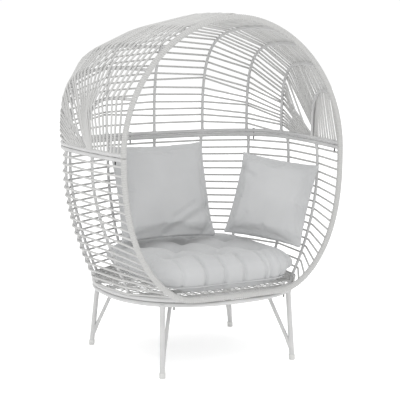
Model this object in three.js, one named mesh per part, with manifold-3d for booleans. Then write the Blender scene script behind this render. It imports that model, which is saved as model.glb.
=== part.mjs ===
// A two-seat standing egg chair: a steel cage in two halves, woven all round, on a four-legged base.
// Millimetres, +Z up, the open front faces -Y, the floor is Z = 0.
// Depths are counted backwards from the plane of the front hoop until the whole chair is centred.

import * as THREE from 'three';
import { mergeVertices } from 'three/addons/utils/BufferGeometryUtils.js';
import Module from 'manifold-3d';

const wasm = await Module();
wasm.setup();

// Front hoop: two superellipse halves that meet where the two baskets bolt together.
const SPLIT_Z = 937;
const HOOP_HALF_WIDTH = 510;
const HOOP_RISE = 549;
const HOOP_TOP_POWER = 1.95;
const HOOP_DROP = 653;
const HOOP_LOW_POWER = 2.5;
const HOOP_LEAN = 0.023;
const HOOP_RADIUS = 13;
const CHORD_Z = 330;
const CHORD_BEND = 12;
const HOOP_CORNER_TURN = -1.17;
const HOOP_STEPS = 34;
const HOOP_SIDES = 10;
const UPPER_HOOP_START = 0.0018;
const LOWER_HOOP_START = 0.0003;

// Mid rails: one U behind the hoop for each basket, stacked.
const RAIL_HALF_WIDTH = 552;
const RAIL_STRAIGHT = 452;
const RAIL_DEPTH = 780;
const RAIL_POWER = 2.78;
const RAIL_CORNER_SHARE = 0.62;
const RAIL_RADIUS = 9;
const RAIL_OFFSET = 9.2;
const RAIL_STEPS = 34;

// Ribs. rail: place along half of the rail; hoop: distance of the front end from the centre line.
const RIB_RADIUS = 6.5;
const UPPER_RIBS = [
  { rail: 0, hoop: 0 },
  { rail: 0.13, hoop: 206 },
  { rail: 0.33, hoop: 310 },
  { rail: 0.55, hoop: 392 },
  { rail: 0.765, hoop: 460 },
];
const UPPER_RIB_RISE = 0.95;
const UPPER_RIB_REACH = 0.81;
const UPPER_RIB_LEAN = 0.03;
const UPPER_RIB_DIP = 0.018;
const UPPER_RIB_STEPS = 13;
const LOWER_RIBS = [0, 0.125, 0.34, 0.595, 0.8];
const LOWER_RIB_FALL = 0.352;
const LOWER_RIB_REACH = 0.302;
const LOWER_RIB_FLARE = 0.122;
const LOWER_RIB_TUCK = 0.456;
const LOWER_RIB_BACK_SHARE = 0.3;
const LOWER_RIB_STEPS = 10;
const EGG_AXIS_DEPTH = 400;
const TUBE_SIDES = 8;

// Base: the basket's ring on the leg frame's ring, both on one outline.
const RING_HALF_WIDTH = 427;
const RING_MIDDLE = 394;
const RING_HALF_DEPTH = 406;
const RING_POWER = 2.34;
const BASE_RING_Z = 330;
const BASE_RING_RADIUS = 11;
const BASE_RING_END = 2.89;
const BASE_RING_STEPS = 36;
const RIB_TURN = 2.49;
const LEG_RING_Z = 309;
const LEG_RING_RADIUS = 9.5;
const LEG_RING_STEPS = 40;
const SEAT_BAR_DEPTHS = [190, 394, 600];
const SEAT_BAR_RADIUS = 7;

// Legs: each foot's place, and how far its top and its brace lean towards the middle of the ring.
const FEET = [
  { name: 'front_left', x: -316, depth: 60, lean: 0.06 },
  { name: 'front_right', x: 316, depth: 60, lean: 0.06 },
  { name: 'rear_left', x: -362, depth: 702, lean: 0.08 },
  { name: 'rear_right', x: 362, depth: 702, lean: 0.08 },
];
const LEG_RADIUS = 11;
const LEG_SIDES = 16;
const LEG_FOOT_Z = 4.5;
const LEG_TOP_Z = 306;
const BRACE_RADIUS = 8;
const BRACE_SIDES = 12;
const BRACE_FOOT_Z = 50;
const BRACE_LEAN = 0.27;
const CROSS_TUBE_RADIUS = 9;
const CROSS_TUBE_SIDES = 10;
const CAP_RADIUS = 13.2;
const CAP_HEIGHT = 24;
const CAP_FLOOR = 4;
const CAP_CLEARANCE = 0.4;

// Weave: panels just outside the ribs, flat across each bay between two of them. start and end: how far a
// panel stops from the tubes' middles at the ends of a rib. bays: how many bays each panel covers.
const WEAVE_GAP = 1.6;
const WEAVE_THICKNESS = 7;
const UPPER_WEAVE = { name: 'upper_weave', lastPlace: 0.9, start: 15, end: 16, bays: [2, 3, 3, 2] };
const LOWER_WEAVE = { name: 'lower_weave', lastPlace: 0.97, start: 24, end: 25, bays: [3, 4, 3] };
const SEAT_WEAVE_Z = 337.8;
const SEAT_WEAVE_THICKNESS = 6;
const SEAT_WEAVE_INSET = 15;
const SEAT_WEAVE_POINTS = 36;

// Bolts: a button head, a shank through both tubes and a thread end that shows underneath.
const BOLT_SHANK_RADIUS = 3;
const BOLT_HEAD_RADIUS = 6;
const BOLT_HEAD_HEIGHT = 3.5;
const BOLT_HOLE_RADIUS = 3.7;
const BOLT_TAIL = 13;
const BOLT_HEAD_CLEARANCE = 0.3;
const BOLT_SIDES = 8;
const RAIL_BOLTS = [-0.95, -0.05, 0.37, 0.95];
const BASE_BOLT_X = 265;

// Cushions. side, front and back: how far the seat cushion's outline draws in there at that height.
const SEAT_BOTTOM = 349.5;
const SEAT_TOP = 490;
const SEAT_PROFILE = [
  { z: SEAT_BOTTOM, side: 64, front: 14, back: 60 },
  { z: SEAT_BOTTOM + 8, side: 34, front: 8, back: 36 },
  { z: SEAT_BOTTOM + 20, side: 18, front: 4, back: 18 },
  { z: SEAT_BOTTOM + 40, side: 8, front: 1, back: 6 },
  { z: SEAT_BOTTOM + 70, side: 0, front: 0, back: 2 },
  { z: SEAT_TOP - 50, side: 12, front: 5, back: 8 },
  { z: SEAT_TOP - 32, side: 38, front: 14, back: 24 },
  { z: SEAT_TOP - 18, side: 78, front: 30, back: 46 },
  { z: SEAT_TOP - 6, side: 126, front: 54, back: 76 },
  { z: SEAT_TOP, side: 170, front: 90, back: 115 },
];
const SEAT_FRONT = 22;
const SEAT_BACK = 725;
const SEAT_FRONT_CORNER_POWER = 0.28;
const SEAT_BACK_CORNER_POWER = 0.48;
const SEAT_SIDE_GAP = 9;
const SEAT_OUTLINE_POINTS = 32;
const PILLOW_THICKNESS = 120;
const PILLOW_HEM_SHARE = 0.18;
const PILLOW_SIDE_PULL = 0.05;
const PILLOW_GRID = 8;
const LEFT_PILLOW = { x: -80, depth: 532, z: 710, width: 464, height: 448, turn: 0.04, lean: 0.34, roll: 0 };
const RIGHT_PILLOW = {
  x: 345, depth: 294, z: 677, width: 366, height: 390, turn: 0.76, lean: 0.36, roll: 0.15,
};

const GAP = 1;
const QUARTER = Math.PI / 2;
const FULL_TURN = Math.PI * 2;
const PATH_SAMPLES = 100;

const paint = { color: 0xd0d0ce, roughness: 0.45, metalness: 0.1 };
const wicker = { color: 0xd4d4d2, roughness: 0.6, metalness: 0 };
const plastic = { color: 0xdcdcda, roughness: 0.5, metalness: 0 };
const zinc = { color: 0x4a4a4c, roughness: 0.4, metalness: 0.9 };
const fabric = { color: 0xc4c5c8, roughness: 0.95, metalness: 0 };

const chair = new THREE.Group();

function addPart(name, geometry, finish) {
  const mesh = new THREE.Mesh(geometry, new THREE.MeshStandardMaterial(finish));
  mesh.name = name;
  chair.add(mesh);
}

// ---------- solids ----------

function bare(geometry) {
  const copy = geometry.clone();
  copy.deleteAttribute('normal');
  copy.deleteAttribute('uv');
  return mergeVertices(copy, 1e-3);
}

function toSolid(geometry) {
  const merged = bare(geometry);
  const vertProperties = new Float32Array(merged.attributes.position.array);
  const triVerts = new Uint32Array(merged.index.array);
  return new wasm.Manifold(new wasm.Mesh({ numProp: 3, vertProperties, triVerts }));
}

function cut(geometry, cutters) {
  let solid = toSolid(geometry);
  for (const cutter of cutters) {
    solid = solid.subtract(toSolid(cutter));
  }
  const mesh = solid.getMesh();
  const result = new THREE.BufferGeometry();
  result.setAttribute('position', new THREE.BufferAttribute(mesh.vertProperties, 3));
  result.setIndex(new THREE.BufferAttribute(mesh.triVerts, 1));
  result.computeVertexNormals();
  return result;
}

function signedVolume(positions, index) {
  const a = new THREE.Vector3();
  const b = new THREE.Vector3();
  const c = new THREE.Vector3();
  let volume = 0;
  for (let i = 0; i < index.length; i += 3) {
    a.fromArray(positions, index[i] * 3);
    b.fromArray(positions, index[i + 1] * 3);
    c.fromArray(positions, index[i + 2] * 3);
    volume += a.dot(b.cross(c)) / 6;
  }
  return volume;
}

// A skin over a row of closed sections. It is capped at both ends unless the row closes on itself.
function loft(sections, closed = false) {
  const count = sections[0].length;
  const rows = sections.length;
  const positions = sections.flat().flatMap((point) => point.toArray());
  const index = [];
  const quad = (a, b, c, d) => index.push(a, b, c, a, c, d);
  for (let row = 0; row < (closed ? rows : rows - 1); row += 1) {
    const here = row * count;
    const there = ((row + 1) % rows) * count;
    for (let i = 0; i < count; i += 1) {
      const next = (i + 1) % count;
      quad(here + i, here + next, there + next, there + i);
    }
  }
  if (!closed) {
    const last = (rows - 1) * count;
    for (let i = 0; i < count / 2 - 1; i += 1) {
      const far = count - 1 - i;
      quad(far, far - 1, i + 1, i);
      quad(last + i, last + i + 1, last + far - 1, last + far);
    }
  }
  if (signedVolume(positions, index) < 0) {
    index.reverse();
  }
  const geometry = new THREE.BufferGeometry();
  geometry.setAttribute('position', new THREE.Float32BufferAttribute(positions, 3));
  geometry.setIndex(index);
  geometry.computeVertexNormals();
  return geometry;
}

function disc(radius, sides) {
  const points = [];
  for (let i = 0; i < sides; i += 1) {
    const angle = ((i + 0.5) / sides) * FULL_TURN;
    points.push(new THREE.Vector2(radius * Math.cos(angle), radius * Math.sin(angle)));
  }
  return new THREE.Shape(points);
}

function tube(path, radius, steps, sides) {
  return new THREE.ExtrudeGeometry(disc(radius, sides), { steps, extrudePath: path });
}

function straightTube(from, to, radius, sides) {
  return tube(new THREE.LineCurve3(from, to), radius, 1, sides);
}

function curveThrough(pointAt, from, to, samples) {
  const points = [];
  for (let i = 0; i <= samples; i += 1) {
    points.push(pointAt(THREE.MathUtils.lerp(from, to, i / samples)));
  }
  return new THREE.CatmullRomCurve3(points);
}

// A straight post between two level discs, so that both of its ends are level.
function levelPost(from, to, radius, sides) {
  const height = to.z - from.z;
  const post = new THREE.CylinderGeometry(radius, radius, height, sides);
  post.rotateX(QUARTER);
  post.translate(0, 0, height / 2);
  const slant = new THREE.Matrix4().set(
    1, 0, (to.x - from.x) / height, 0,
    0, 1, (to.y - from.y) / height, 0,
    0, 0, 1, 0,
    0, 0, 0, 1,
  );
  post.applyMatrix4(slant);
  post.translate(from.x, from.y, from.z);
  return post;
}

// ---------- outlines ----------

function signedPower(value, power) {
  return Math.sign(value) * Math.abs(value) ** power;
}

// turn: 0 at the right of the hoop, a quarter at its top, minus a quarter at the middle of its chord.
function hoopPoint(turn) {
  const upper = Math.sin(turn) >= 0;
  const power = 2 / (upper ? HOOP_TOP_POWER : HOOP_LOW_POWER);
  const x = HOOP_HALF_WIDTH * signedPower(Math.cos(turn), power);
  const rise = (upper ? HOOP_RISE : HOOP_DROP) * signedPower(Math.sin(turn), power);
  const above = SPLIT_Z + rise - CHORD_Z;
  const z = CHORD_Z + (above + Math.hypot(above, 2 * CHORD_BEND)) / 2;
  return new THREE.Vector3(x, HOOP_LEAN * (z - SPLIT_Z), z);
}

function hoopHeightAt(x) {
  const share = Math.abs(x) / HOOP_HALF_WIDTH;
  return SPLIT_Z + HOOP_RISE * (1 - share ** HOOP_TOP_POWER) ** (1 / HOOP_TOP_POWER);
}

function hoopHalfWidthAt(z) {
  const share = (SPLIT_Z - z) / HOOP_DROP;
  return HOOP_HALF_WIDTH * (1 - share ** HOOP_LOW_POWER) ** (1 / HOOP_LOW_POWER);
}

// place: 0 at the middle of the back, 1 at the right end of the rail, -1 at the left end.
function railPoint(place, z) {
  const share = Math.abs(place);
  let x;
  let depth;
  if (share <= RAIL_CORNER_SHARE) {
    const turn = (share / RAIL_CORNER_SHARE) * QUARTER;
    x = RAIL_HALF_WIDTH * Math.sin(turn) ** (2 / RAIL_POWER);
    depth = RAIL_STRAIGHT + (RAIL_DEPTH - RAIL_STRAIGHT) * Math.cos(turn) ** (2 / RAIL_POWER);
  } else {
    const along = (share - RAIL_CORNER_SHARE) / (1 - RAIL_CORNER_SHARE);
    x = RAIL_HALF_WIDTH - (RAIL_HALF_WIDTH - HOOP_HALF_WIDTH) * along ** 2;
    depth = RAIL_STRAIGHT * (1 - along);
  }
  return new THREE.Vector3(Math.sign(place) * x, depth, z);
}

// turn: 0 at the middle of the back, half a turn at the middle of the front.
function ringPoint(turn, z, inset = 0) {
  const x = (RING_HALF_WIDTH - inset) * signedPower(Math.sin(turn), 2 / RING_POWER);
  const depth = RING_MIDDLE + (RING_HALF_DEPTH - inset) * signedPower(Math.cos(turn), 2 / RING_POWER);
  return new THREE.Vector3(x, depth, z);
}

function ringHalfWidthAt(depth) {
  const share = Math.abs(depth - RING_MIDDLE) / RING_HALF_DEPTH;
  return RING_HALF_WIDTH * (1 - share ** RING_POWER) ** (1 / RING_POWER);
}

// ---------- ribs and the surfaces that they span ----------

function hoopEndFor(place) {
  const stations = [...UPPER_RIBS, { rail: 1, hoop: HOOP_HALF_WIDTH }];
  const share = Math.abs(place);
  const next = Math.max(1, stations.findIndex((station) => station.rail >= share));
  const before = stations[next - 1];
  const after = stations[next];
  const between = (share - before.rail) / (after.rail - before.rail);
  return Math.sign(place) * THREE.MathUtils.lerp(before.hoop, after.hoop, between);
}

function upperRib(place) {
  const foot = railPoint(place, SPLIT_Z + RAIL_OFFSET);
  const x = hoopEndFor(place);
  const z = hoopHeightAt(x);
  const end = new THREE.Vector3(x, HOOP_LEAN * (z - SPLIT_Z), z);
  const back = new THREE.Vector3(foot.x - end.x, foot.y - end.y, 0);
  const reach = back.length() * UPPER_RIB_REACH;
  const rise = (end.z - foot.z) * UPPER_RIB_RISE;
  back.normalize();
  const overFoot = foot.clone().addScaledVector(back, rise * Math.sin(UPPER_RIB_LEAN));
  overFoot.z += rise * Math.cos(UPPER_RIB_LEAN);
  const behindEnd = end.clone().addScaledVector(back, reach * Math.cos(UPPER_RIB_DIP));
  behindEnd.z += reach * Math.sin(UPPER_RIB_DIP);
  return new THREE.CubicBezierCurve3(foot, overFoot, behindEnd, end);
}

function lowerRib(place) {
  const top = railPoint(place, SPLIT_Z - RAIL_OFFSET);
  const end = ringPoint(place * RIB_TURN, BASE_RING_Z);
  const fall = top.z - end.z;
  const out = new THREE.Vector3(top.x, top.y - EGG_AXIS_DEPTH, 0).normalize();
  const sideways = THREE.MathUtils.lerp(LOWER_RIB_BACK_SHARE, 1, Math.abs(out.x));
  const flare = LOWER_RIB_FLARE * sideways;
  const tuck = LOWER_RIB_TUCK * sideways;
  const underTop = top.clone().addScaledVector(out, fall * LOWER_RIB_FALL * Math.sin(flare));
  underTop.z -= fall * LOWER_RIB_FALL * Math.cos(flare);
  const overEnd = end.clone().addScaledVector(out, fall * LOWER_RIB_REACH * Math.sin(tuck));
  overEnd.z += fall * LOWER_RIB_REACH * Math.cos(tuck);
  return new THREE.CubicBezierCurve3(top, underTop, overEnd, end);
}

const LAST_RIB = LOWER_RIBS.at(-1);
const hoopSide = curveThrough(hoopPoint, -LOWER_HOOP_START, HOOP_CORNER_TURN, PATH_SAMPLES);

// The lower surface runs over the ribs, then straight from the last rib to the side of the hoop.
function lowerColumn(place) {
  const share = Math.abs(place);
  const rib = lowerRib(Math.min(share, LAST_RIB));
  const between = Math.max(0, (share - LAST_RIB) / (1 - LAST_RIB));
  const mirror = new THREE.Vector3(Math.sign(place) || 1, 1, 1);
  return {
    getLength: () => rib.getLength(),
    getPointAt: (along) => rib.getPointAt(along).lerp(hoopSide.getPointAt(along), between).multiply(mirror),
  };
}

// Places given for the right half, mirrored to the left as well, in order from the left end.
function bothSides(places) {
  return [...places.slice(1).reverse().map((place) => -place), ...places];
}

// The steps of a rib, moved in from both of its ends where the weave stops short of the tubes.
function weaveRows(length, steps, weave) {
  const first = weave.start / length;
  const last = 1 - weave.end / length;
  const rows = [first];
  for (let row = 1; row < steps; row += 1) {
    const onStep = row / steps;
    const inOrder = onStep > rows.at(-1) && onStep < last;
    rows.push(inOrder ? onStep : THREE.MathUtils.lerp(first, last, onStep));
  }
  return [...rows, last];
}

// A sheet of even thickness, straight across each bay between two places and mitred at the ribs.
// Its rows keep to the steps of the ribs, so that it clears them everywhere by the same gap.
function weavePanel(columnAt, places, steps, weave) {
  const sample = 0.003;
  const columns = places.map((place) => columnAt(place));
  const rows = columns.map((column) => weaveRows(column.getLength(), steps, weave));
  const bays = places.length - 1;
  const onColumn = (i, row, shift) => columns[i].getPointAt(rows[i][row] + shift);
  const inBay = (bay, share, row, shift = 0) => {
    return onColumn(bay, row, shift).lerp(onColumn(bay + 1, row, shift), share);
  };
  const acrossBay = (bay, row) => inBay(bay, 1, row).sub(inBay(bay, 0, row)).normalize();
  const normalAt = (bay, share, row) => {
    const down = inBay(bay, share, row, sample).sub(inBay(bay, share, row, -sample));
    const normal = acrossBay(bay, row).cross(down).normalize();
    const outward = inBay(bay, share, row).sub(new THREE.Vector3(0, EGG_AXIS_DEPTH, SPLIT_Z));
    return normal.dot(outward) < 0 ? normal.negate() : normal;
  };
  const pushed = (bay, share, row, distance) => {
    const normal = normalAt(bay, share, row);
    if (share === 0 && bay > 0) {
      const before = normalAt(bay - 1, 1, row);
      const mitre = 1 + normal.dot(before);
      normal.add(before).divideScalar(mitre);
    }
    const atFirst = bay === 0 && share === 0;
    const atLast = bay === bays - 1 && share === 1;
    const pulledIn = GAP * (Number(atFirst) - Number(atLast));
    const point = inBay(bay, share, row).addScaledVector(acrossBay(bay, row), pulledIn);
    return point.addScaledVector(normal, distance);
  };
  const inner = RIB_RADIUS + WEAVE_GAP;
  const sectionAt = (bay, share) => {
    const outerRow = rows[0].map((along, row) => pushed(bay, share, row, inner + WEAVE_THICKNESS));
    const innerRow = rows[0].map((along, row) => pushed(bay, share, row, inner));
    return [...outerRow, ...innerRow.reverse()];
  };
  const sections = [];
  for (let bay = 0; bay < bays; bay += 1) {
    sections.push(sectionAt(bay, 0), sectionAt(bay, 0.5));
  }
  sections.push(sectionAt(bays - 1, 1));
  return loft(sections);
}

// ---------- the cage ----------

const upperHoopPath = curveThrough(hoopPoint, UPPER_HOOP_START, Math.PI - UPPER_HOOP_START, PATH_SAMPLES);
const lowerHoopPath = curveThrough(hoopPoint, -LOWER_HOOP_START, -Math.PI + LOWER_HOOP_START, PATH_SAMPLES);

// The cutters run on past both ends of their hoop, and are rounder than it.
const CUTTER_OVERRUN = 0.2;
const CUTTER_STEPS = HOOP_STEPS * 2;
const CUTTER_SIDES = 16;
const upperCutPath = curveThrough(hoopPoint, -CUTTER_OVERRUN, Math.PI + CUTTER_OVERRUN, PATH_SAMPLES);
const lowerCutPath = curveThrough(hoopPoint, CUTTER_OVERRUN, -Math.PI - CUTTER_OVERRUN, PATH_SAMPLES);
const upperHoopCutter = tube(upperCutPath, HOOP_RADIUS + GAP, CUTTER_STEPS, CUTTER_SIDES);
const lowerHoopCutter = tube(lowerCutPath, HOOP_RADIUS + GAP, CUTTER_STEPS, CUTTER_SIDES);

function railTube(z, radius) {
  const path = curveThrough((place) => railPoint(place, z), -1, 1, PATH_SAMPLES);
  return tube(path, radius, RAIL_STEPS, TUBE_SIDES);
}

function boltHole(x, depth, z, reach) {
  const low = new THREE.Vector3(x, depth, z - reach);
  const high = new THREE.Vector3(x, depth, z + reach);
  return levelPost(low, high, BOLT_HOLE_RADIUS, TUBE_SIDES);
}

const HOLE_REACH = 60;
const railBoltPlaces = RAIL_BOLTS.map((place) => railPoint(place, SPLIT_Z));
const railHoles = railBoltPlaces.map((point) => boltHole(point.x, point.y, SPLIT_Z, HOLE_REACH));

function addHoops() {
  addPart('upper_hoop', tube(upperHoopPath, HOOP_RADIUS, HOOP_STEPS, HOOP_SIDES), wicker);
  addPart('lower_hoop', tube(lowerHoopPath, HOOP_RADIUS, HOOP_STEPS + 6, HOOP_SIDES), wicker);
}

function addRails() {
  const upper = railTube(SPLIT_Z + RAIL_OFFSET, RAIL_RADIUS);
  const lower = railTube(SPLIT_Z - RAIL_OFFSET, RAIL_RADIUS);
  addPart('upper_rail', cut(upper, [upperHoopCutter, ...railHoles]), paint);
  addPart('lower_rail', cut(lower, [lowerHoopCutter, ...railHoles]), paint);
}

function addRibs() {
  const upperRailCutter = railTube(SPLIT_Z + RAIL_OFFSET, RAIL_RADIUS + GAP);
  const lowerRailCutter = railTube(SPLIT_Z - RAIL_OFFSET, RAIL_RADIUS + GAP);
  const baseRingCutter = baseRingTube(BASE_RING_RADIUS + GAP);
  bothSides(UPPER_RIBS.map((rib) => rib.rail)).forEach((place, i) => {
    const rib = tube(upperRib(place), RIB_RADIUS, UPPER_RIB_STEPS, TUBE_SIDES);
    addPart(`upper_rib_${i + 1}`, cut(rib, [upperHoopCutter, upperRailCutter]), paint);
  });
  bothSides(LOWER_RIBS).forEach((place, i) => {
    const rib = tube(lowerRib(place), RIB_RADIUS, LOWER_RIB_STEPS, TUBE_SIDES);
    addPart(`lower_rib_${i + 1}`, cut(rib, [lowerRailCutter, baseRingCutter]), paint);
  });
}

function addWeave(columnAt, ribPlaces, steps, weave) {
  const places = bothSides([...ribPlaces, weave.lastPlace]);
  let first = 0;
  weave.bays.forEach((bays, i) => {
    const panel = weavePanel(columnAt, places.slice(first, first + bays + 1), steps, weave);
    addPart(`${weave.name}_${i + 1}`, panel, wicker);
    first += bays;
  });
}

// ---------- the base ----------

function baseRingTube(radius) {
  const pointAt = (turn) => ringPoint(turn, BASE_RING_Z);
  const path = curveThrough(pointAt, -BASE_RING_END, BASE_RING_END, PATH_SAMPLES);
  return tube(path, radius, BASE_RING_STEPS, TUBE_SIDES);
}

function legRingTube(radius) {
  const sample = 0.01;
  const sections = [];
  for (let i = 0; i < LEG_RING_STEPS; i += 1) {
    const turn = (i / LEG_RING_STEPS) * FULL_TURN;
    const centre = ringPoint(turn, LEG_RING_Z);
    const ahead = ringPoint(turn + sample, LEG_RING_Z).sub(ringPoint(turn - sample, LEG_RING_Z));
    const outward = new THREE.Vector3(ahead.y, -ahead.x, 0).normalize();
    const section = [];
    for (let side = 0; side < TUBE_SIDES; side += 1) {
      const angle = ((side + 0.5) / TUBE_SIDES) * FULL_TURN;
      const point = centre.clone().addScaledVector(outward, radius * Math.cos(angle));
      point.z += radius * Math.sin(angle);
      section.push(point);
    }
    sections.push(section);
  }
  return loft(sections, true);
}

function baseBoltPlaces() {
  const places = [];
  for (const x of [-BASE_BOLT_X, BASE_BOLT_X]) {
    const turn = Math.asin((BASE_BOLT_X / RING_HALF_WIDTH) ** (RING_POWER / 2));
    const rear = ringPoint(Math.sign(x) * turn, BASE_RING_Z);
    const front = ringPoint(Math.sign(x) * (Math.PI - turn), BASE_RING_Z);
    places.push(front, rear);
  }
  return places;
}

function addBase() {
  const holes = baseBoltPlaces().map((point) => boltHole(point.x, point.y, BASE_RING_Z, HOLE_REACH));
  addPart('base_ring', cut(baseRingTube(BASE_RING_RADIUS), [lowerHoopCutter, ...holes]), paint);
  addPart('leg_ring', cut(legRingTube(LEG_RING_RADIUS), holes), paint);
}

function addSeatBars() {
  const ringCutter = baseRingTube(BASE_RING_RADIUS + GAP);
  SEAT_BAR_DEPTHS.forEach((depth, i) => {
    const half = ringHalfWidthAt(depth);
    const left = new THREE.Vector3(-half, depth, BASE_RING_Z);
    const right = new THREE.Vector3(half, depth, BASE_RING_Z);
    const bar = straightTube(left, right, SEAT_BAR_RADIUS, TUBE_SIDES);
    addPart(`seat_bar_${i + 1}`, cut(bar, [ringCutter]), paint);
  });
}

function addSeatWeave() {
  const outlineAt = (z) => {
    const points = [];
    for (let i = 0; i < SEAT_WEAVE_POINTS; i += 1) {
      points.push(ringPoint(((i + 0.5) / SEAT_WEAVE_POINTS) * FULL_TURN, z, SEAT_WEAVE_INSET));
    }
    return points;
  };
  const sections = [outlineAt(SEAT_WEAVE_Z), outlineAt(SEAT_WEAVE_Z + SEAT_WEAVE_THICKNESS)];
  addPart('seat_weave', loft(sections), wicker);
}

// A point of the line from a foot towards the middle of the ring.
function inwards(foot, lean, z) {
  const x = foot.x * (1 - lean);
  const depth = THREE.MathUtils.lerp(foot.depth, RING_MIDDLE, lean);
  return new THREE.Vector3(x, depth, z);
}

function legLine(foot) {
  const top = inwards(foot, foot.lean, LEG_RING_Z);
  top.x = Math.sign(foot.x) * ringHalfWidthAt(top.y);
  return { bottom: new THREE.Vector3(foot.x, foot.depth, 0), top };
}

function addLegs() {
  const ringCutter = legRingTube(LEG_RING_RADIUS + GAP);
  const crossDepths = { front: 0, rear: 0 };
  for (const foot of FEET) {
    crossDepths[foot.name.split('_')[0]] = inwards(foot, BRACE_LEAN, 0).y;
  }
  const crossCutters = {};
  for (const [end, depth] of Object.entries(crossDepths)) {
    const half = ringHalfWidthAt(depth);
    const left = new THREE.Vector3(-half, depth, LEG_RING_Z);
    const right = new THREE.Vector3(half, depth, LEG_RING_Z);
    const bar = straightTube(left, right, CROSS_TUBE_RADIUS, CROSS_TUBE_SIDES);
    addPart(`leg_cross_tube_${end}`, cut(bar, [ringCutter]), paint);
    crossCutters[end] = straightTube(left, right, CROSS_TUBE_RADIUS + GAP, CUTTER_SIDES);
  }
  for (const foot of FEET) {
    const line = legLine(foot);
    const slope = line.top.clone().sub(line.bottom).divideScalar(line.top.z);
    const onLeg = (z) => line.bottom.clone().addScaledVector(slope, z);
    const leg = levelPost(onLeg(LEG_FOOT_Z), onLeg(LEG_TOP_Z), LEG_RADIUS, LEG_SIDES);
    addPart(`leg_${foot.name}`, cut(leg, [ringCutter]), paint);
    const legCutter = levelPost(onLeg(0), onLeg(LEG_RING_Z), LEG_RADIUS + GAP, LEG_SIDES * 2);
    const braceTop = inwards(foot, BRACE_LEAN, LEG_RING_Z);
    const brace = straightTube(onLeg(BRACE_FOOT_Z), braceTop, BRACE_RADIUS, BRACE_SIDES);
    const end = foot.name.split('_')[0];
    addPart(`leg_brace_${foot.name}`, cut(brace, [legCutter, crossCutters[end]]), paint);
    const cap = levelPost(onLeg(0), onLeg(CAP_HEIGHT), CAP_RADIUS, LEG_SIDES);
    const socketTop = onLeg(CAP_HEIGHT + CAP_FLOOR);
    const socket = levelPost(onLeg(CAP_FLOOR), socketTop, LEG_RADIUS + CAP_CLEARANCE, LEG_SIDES);
    addPart(`foot_cap_${foot.name}`, cut(cap, [socket]), plastic);
  }
}

// ---------- bolts ----------

function boltGeometry(topZ, bottomZ) {
  const headZ = topZ + BOLT_HEAD_CLEARANCE;
  const profile = [
    new THREE.Vector2(0, bottomZ),
    new THREE.Vector2(BOLT_SHANK_RADIUS * 0.75, bottomZ),
    new THREE.Vector2(BOLT_SHANK_RADIUS, bottomZ + 1),
    new THREE.Vector2(BOLT_SHANK_RADIUS, headZ),
    new THREE.Vector2(BOLT_HEAD_RADIUS, headZ),
    new THREE.Vector2(BOLT_HEAD_RADIUS * 0.9, headZ + BOLT_HEAD_HEIGHT * 0.6),
    new THREE.Vector2(BOLT_HEAD_RADIUS * 0.5, headZ + BOLT_HEAD_HEIGHT),
    new THREE.Vector2(0, headZ + BOLT_HEAD_HEIGHT),
  ];
  const bolt = new THREE.LatheGeometry(profile, BOLT_SIDES);
  bolt.rotateX(QUARTER);
  return bolt;
}

function addBolts() {
  railBoltPlaces.forEach((point, i) => {
    const topZ = SPLIT_Z + RAIL_OFFSET + RAIL_RADIUS;
    const bolt = boltGeometry(topZ, SPLIT_Z - RAIL_OFFSET - RAIL_RADIUS - BOLT_TAIL);
    bolt.translate(point.x, point.y, 0);
    addPart(`rail_bolt_${i + 1}`, bolt, zinc);
  });
  baseBoltPlaces().forEach((point, i) => {
    const topZ = BASE_RING_Z + BASE_RING_RADIUS;
    const bolt = boltGeometry(topZ, LEG_RING_Z - LEG_RING_RADIUS - BOLT_TAIL);
    bolt.translate(point.x, point.y, 0);
    addPart(`base_bolt_${i + 1}`, bolt, zinc);
  });
}

// ---------- cushions ----------

// The seat cushion fills the bowl, and is nowhere wider than the hoop, so that it slides out of the front.
function seatOutline(level) {
  const { z, side } = level;
  const points = [];
  const front = SEAT_FRONT + level.front;
  const back = SEAT_BACK - level.back;
  const middle = (front + back) / 2;
  const halfDepth = (back - front) / 2;
  const half = hoopHalfWidthAt(z) - HOOP_RADIUS - SEAT_SIDE_GAP - side;
  for (let i = 0; i < SEAT_OUTLINE_POINTS; i += 1) {
    const turn = ((i + 0.5) / SEAT_OUTLINE_POINTS) * FULL_TURN;
    const cornerPower = Math.cos(turn) > 0 ? SEAT_FRONT_CORNER_POWER : SEAT_BACK_CORNER_POWER;
    const x = half * signedPower(Math.sin(turn), cornerPower);
    const depth = middle - halfDepth * signedPower(Math.cos(turn), cornerPower);
    points.push(new THREE.Vector3(x, depth, z));
  }
  return points;
}

function addSeatCushion() {
  const sections = SEAT_PROFILE.map(seatOutline);
  addPart('seat_cushion', loft(sections), fabric);
}

// A square pillow: crowned in the middle, thin at the hem, its sides pulled in between the corners.
function pillow(place) {
  const grid = PILLOW_GRID;
  const shape = new THREE.BoxGeometry(place.width, PILLOW_THICKNESS, place.height, grid, 2, grid);
  const merged = bare(shape);
  const position = merged.attributes.position;
  for (let i = 0; i < position.count; i += 1) {
    const across = position.getX(i) / (place.width / 2);
    const up = position.getZ(i) / (place.height / 2);
    const crown = Math.sqrt(Math.max(0, (1 - across ** 4) * (1 - up ** 4)));
    position.setX(i, position.getX(i) * (1 - PILLOW_SIDE_PULL * (1 - up ** 2)));
    position.setZ(i, position.getZ(i) * (1 - PILLOW_SIDE_PULL * (1 - across ** 2)));
    position.setY(i, position.getY(i) * THREE.MathUtils.lerp(PILLOW_HEM_SHARE, 1, crown));
  }
  merged.rotateY(place.roll);
  merged.rotateX(-place.lean);
  merged.rotateZ(-place.turn);
  merged.translate(place.x, place.depth, place.z);
  merged.computeVertexNormals();
  return merged;
}

function addPillows() {
  addPart('back_cushion_left', pillow(LEFT_PILLOW), fabric);
  addPart('back_cushion_right', pillow(RIGHT_PILLOW), fabric);
}

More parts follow.
